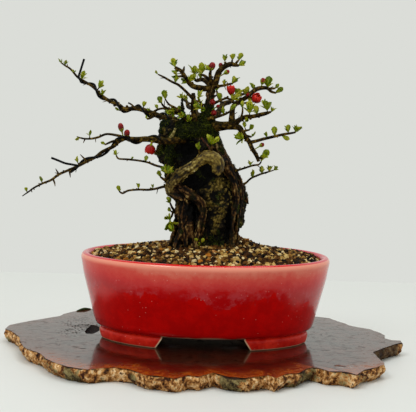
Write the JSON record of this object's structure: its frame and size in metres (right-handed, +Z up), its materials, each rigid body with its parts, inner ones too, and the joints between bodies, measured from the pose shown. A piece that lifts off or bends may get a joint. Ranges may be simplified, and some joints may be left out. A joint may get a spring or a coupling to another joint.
{
  "type": "rock bonsai",
  "caption": "Dwarf flowering quince bonsai whose roots clasp an upright rock, with scarlet buds and fresh leaves, in a red glazed oval pot on a burl wood slab.",
  "frame": {"origin": "on the underside of the slab, below the middle of the pot", "axes": "+X to the right and -Y towards the viewer, seen from the front of the bonsai; +Z up"},
  "size_m": [0.3644, 0.3271, 0.2687],
  "materials": {
    "burl_wood": "gloss",
    "red_glaze": "gloss",
    "drain_mesh_plastic": "matte",
    "mossy_rock": "rough",
    "bonsai_soil": "rough",
    "quince_bark": "rough",
    "twigs_and_leaves": "matte",
    "scarlet_petals": "satin",
    "wire_aluminium": "satin"
  },
  "bodies": {
    "root": {"burl_slab": "burl_wood", "pot": "red_glaze", "drain_mesh_left": "drain_mesh_plastic", "drain_mesh_right": "drain_mesh_plastic", "rock": "mossy_rock", "trunk_and_roots": "quince_bark", "soil": "bonsai_soil", "training_wire_upper": "wire_aluminium", "training_wire_lower": "wire_aluminium", "bud_fork_high": "scarlet_petals", "bud_fork_low": "scarlet_petals", "bud_apex": "scarlet_petals", "bud_apex_back": "scarlet_petals", "bud_calyx": "scarlet_petals", "bud_trunk_high": "scarlet_petals", "bud_trunk_small": "scarlet_petals", "bud_trunk_low": "scarlet_petals", "bud_right_high": "scarlet_petals", "bud_right_small": "scarlet_petals", "bud_right_low": "scarlet_petals", "bloom_hanging": "scarlet_petals", "bloom_middle": "scarlet_petals", "bloom_right": "scarlet_petals", "branch_upper_left": "twigs_and_leaves", "twig_back_left_low": "twigs_and_leaves", "twig_back_left_high": "twigs_and_leaves", "branch_lower_left": "twigs_and_leaves", "shoot_left_high": "twigs_and_leaves", "shoot_left_low": "twigs_and_leaves", "shoot_knee": "twigs_and_leaves", "shoot_left_foot": "twigs_and_leaves", "branch_inner_left": "twigs_and_leaves", "branch_top_left": "twigs_and_leaves", "twig_top_left": "twigs_and_leaves", "twig_apex": "twigs_and_leaves", "leader": "twigs_and_leaves", "twig_top_right": "twigs_and_leaves", "twig_mid_right": "twigs_and_leaves", "branch_right": "twigs_and_leaves", "branch_right_low": "twigs_and_leaves", "shoot_right_long": "twigs_and_leaves", "branch_right_high": "twigs_and_leaves", "twig_right_cross": "twigs_and_leaves", "shoot_right_mid": "twigs_and_leaves", "shoot_right_low": "twigs_and_leaves", "shoot_front": "twigs_and_leaves", "shoot_front_left": "twigs_and_leaves", "branch_back": "twigs_and_leaves", "branch_back_right": "twigs_and_leaves"}
  },
  "joints": []
}
